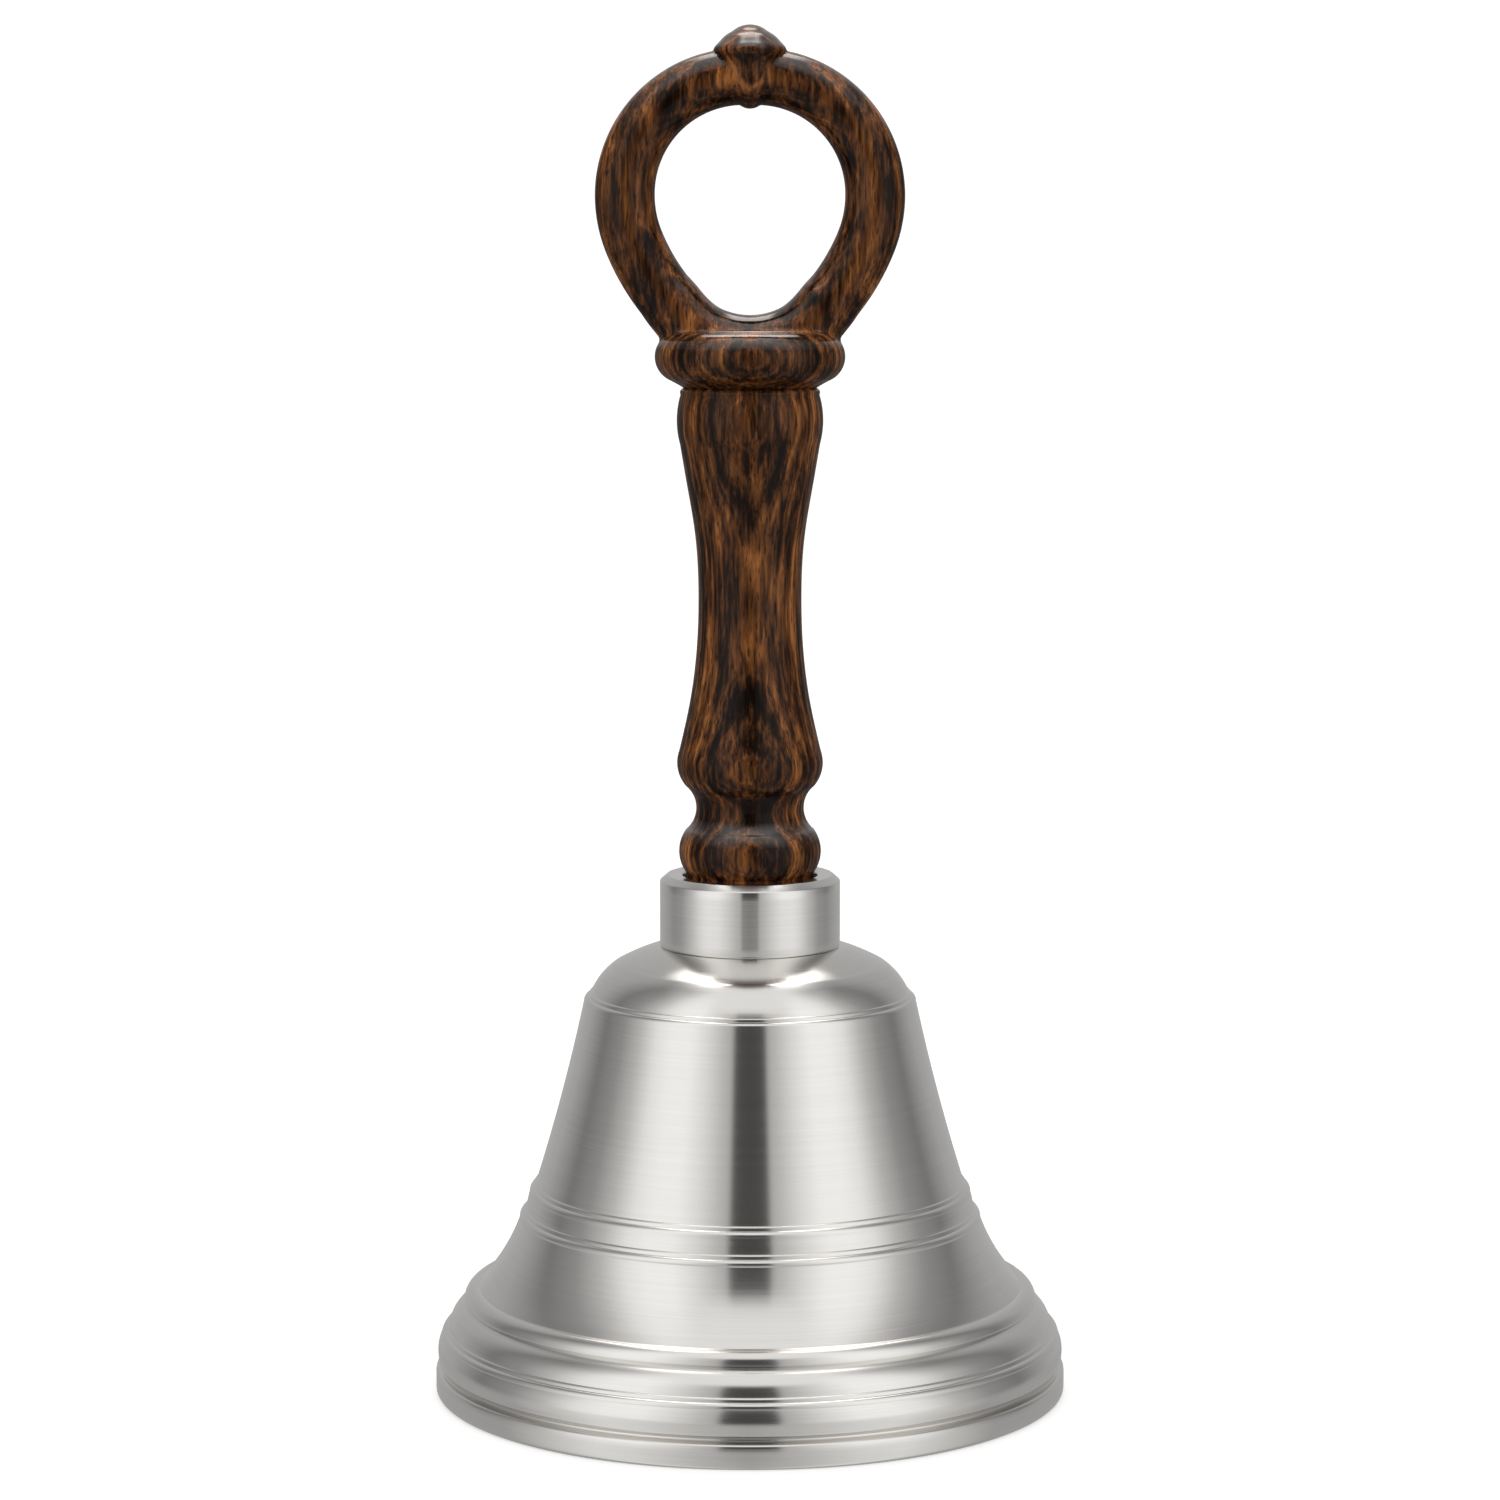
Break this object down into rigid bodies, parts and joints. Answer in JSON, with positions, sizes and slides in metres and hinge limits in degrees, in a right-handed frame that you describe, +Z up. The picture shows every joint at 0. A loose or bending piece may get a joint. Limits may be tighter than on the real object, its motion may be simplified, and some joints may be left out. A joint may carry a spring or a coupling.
{
  "type": "sanctus bell",
  "caption": "Altar hand bell with banded flared mouth and turned dark wood handle ending in a finger ring; clapper swings on a swivelling hanger",
  "frame": {"origin": "centre of the bell's mouth, on the plane that the lip stands on", "axes": "+Z up along the bell's axis, +X along the plane of the ring handle, -Y towards the front"},
  "size_m": [0.1116, 0.1116, 0.2398],
  "materials": {
    "bell_metal": "nickel plate, turned satin with polished beads",
    "dark_wood": "dark streaked hardwood under gloss varnish",
    "plated_steel": "zinc plated",
    "spring_steel": "blackened spring steel",
    "clapper_metal": "polished nickel plate",
    "brass": "turned brass",
    "leather": "vegetable tanned leather, cut edge"
  },
  "bodies": {
    "bell": {"bell_shell": "bell_metal", "collar": "bell_metal", "grip": "dark_wood", "ring_head": "dark_wood", "thread_insert": "brass", "tie_stud": "plated_steel", "crown_washer": "leather", "clamp_washer": "plated_steel", "lock_washer": "spring_steel", "clamp_nut": "plated_steel", "swivel_washer": "brass", "swivel_nut": "plated_steel"},
    "hanger": {"hanger": "plated_steel", "pivot_pin": "plated_steel", "pivot_clip": "spring_steel", "cheek_washers": "brass"},
    "clapper": {"clapper_bush": "brass", "clapper_rod": "plated_steel", "clapper_jam_nut": "plated_steel", "clapper_ball": "clapper_metal"}
  },
  "joints": [
    {"name": "hanger_swivel", "type": "hinge", "parent": "bell", "child": "hanger", "pos_m": [0, 0, 0.0639], "axis": [0, 0, 1], "continuous": true},
    {"name": "clapper_swing", "type": "hinge", "parent": "hanger", "child": "clapper", "pos_m": [0, 0, 0.053], "axis": [0, 1, 0], "range_deg": [-44, 44]}
  ]
}
